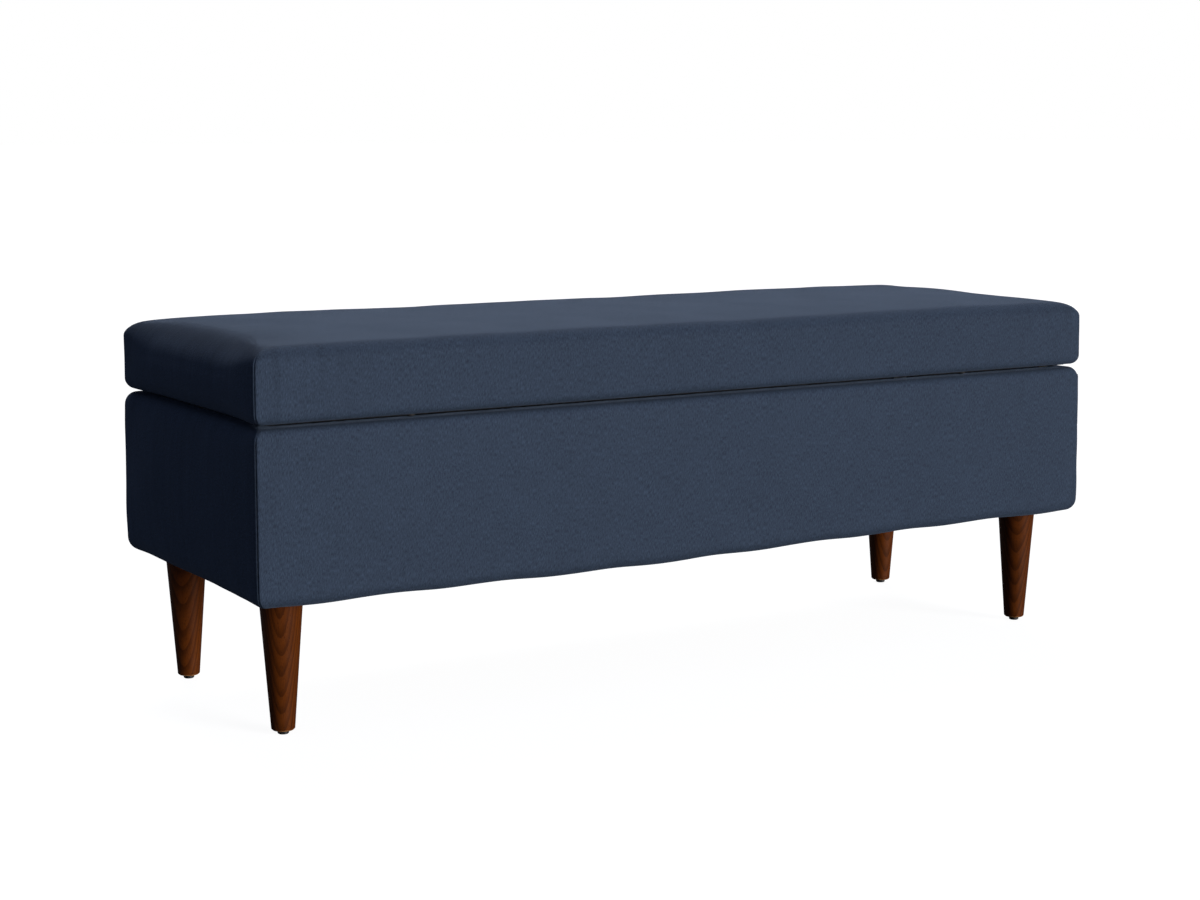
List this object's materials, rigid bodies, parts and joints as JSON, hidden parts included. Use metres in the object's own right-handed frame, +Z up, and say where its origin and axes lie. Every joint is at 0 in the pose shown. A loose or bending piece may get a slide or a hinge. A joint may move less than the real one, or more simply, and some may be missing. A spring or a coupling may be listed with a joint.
{
  "type": "storage ottoman bench",
  "caption": "Long padded storage ottoman on round tapered wooden legs, with an upholstered lid that hinges up at the back on slotted stays.",
  "frame": {"origin": "on the floor, under the middle of the bench", "axes": "+X along the length, to the right as seen from the front; the front faces -Y; +Z up"},
  "size_m": [1.245, 0.432, 0.468],
  "materials": {
    "cover_fabric": "navy brushed microfibre with a very fine weave and a faint diagonal nap",
    "padding_foam": "open-cell upholstery foam",
    "wadding": "white bonded polyester wadding",
    "plywood": "sanded birch plywood",
    "softwood": "planed softwood",
    "lining_fabric": "charcoal plain-weave lining",
    "cambric": "black spun-bonded cambric",
    "walnut": "dark walnut stain under satin lacquer, with bare wood at the foot's chamfer",
    "black_plastic": "moulded black nylon",
    "bumper_rubber": "soft black rubber",
    "zinc_steel": "bright zinc plate",
    "hinge_steel": "nickel-plated pressed steel",
    "stay_steel": "zinc-plated flat steel"
  },
  "bodies": {
    "base": {"cover_front": "cover_fabric", "cover_back": "cover_fabric", "cover_left": "cover_fabric", "cover_right": "cover_fabric", "front_padding": "padding_foam", "back_padding": "padding_foam", "left_padding": "padding_foam", "right_padding": "padding_foam", "front_panel": "plywood", "back_panel": "plywood", "left_panel": "plywood", "right_panel": "plywood", "floor_panel": "plywood", "front_cleat": "softwood", "back_cleat": "softwood", "left_cleat": "softwood", "right_cleat": "softwood", "centre_rail": "softwood", "corner_block_front_left": "softwood", "corner_block_front_right": "softwood", "corner_block_back_left": "softwood", "corner_block_back_right": "softwood", "storage_lining": "lining_fabric", "dust_cover": "cambric", "leg_front_left": "walnut", "leg_front_right": "walnut", "leg_back_left": "walnut", "leg_back_right": "walnut", "glides": "black_plastic", "glide_nails": "zinc_steel", "hanger_bolts": "zinc_steel", "t_nuts": "zinc_steel", "frame_screws": "zinc_steel", "base_hinge_screws": "zinc_steel", "stay_plate_screws": "zinc_steel", "dust_cover_staples": "zinc_steel", "hinge_base_leaf_left": "hinge_steel", "hinge_base_leaf_centre": "hinge_steel", "hinge_base_leaf_right": "hinge_steel", "hinge_pins": "hinge_steel", "stay_plate_left": "stay_steel", "stay_plate_right": "stay_steel", "stay_studs": "stay_steel"},
    "lid": {"lid_board": "plywood", "lid_foam": "padding_foam", "lid_wadding": "wadding", "lid_cover": "cover_fabric", "lid_lining": "cambric", "hinge_lid_leaf_left": "hinge_steel", "hinge_lid_leaf_centre": "hinge_steel", "hinge_lid_leaf_right": "hinge_steel", "stay_bracket_left": "stay_steel", "stay_bracket_right": "stay_steel", "stay_rivets": "stay_steel", "lid_hinge_screws": "zinc_steel", "stay_bracket_screws": "zinc_steel", "lid_bumpers": "bumper_rubber"},
    "stay_arm_left": {"stay_arm_left": "stay_steel"},
    "stay_arm_right": {"stay_arm_right": "stay_steel"}
  },
  "joints": [
    {"name": "lid_hinge", "type": "hinge", "parent": "base", "child": "lid", "pos_m": [0, 0.2125, 0.3705], "axis": [-1, 0, 0], "range_deg": [0, 95]},
    {"name": "stay_left_pivot", "type": "hinge", "parent": "lid", "child": "stay_arm_left", "pos_m": [-0.5843, 0.12555, 0.35828], "axis": [-1, 0, 0], "range_deg": [-47.5, 0]},
    {"name": "stay_right_pivot", "type": "hinge", "parent": "lid", "child": "stay_arm_right", "pos_m": [0.5843, 0.12555, 0.35828], "axis": [-1, 0, 0], "range_deg": [-47.5, 0]}
  ],
  "couplings": [
    {"joint": "stay_left_pivot", "follows": "lid_hinge", "ratio": -0.5},
    {"joint": "stay_right_pivot", "follows": "lid_hinge", "ratio": -0.5}
  ]
}
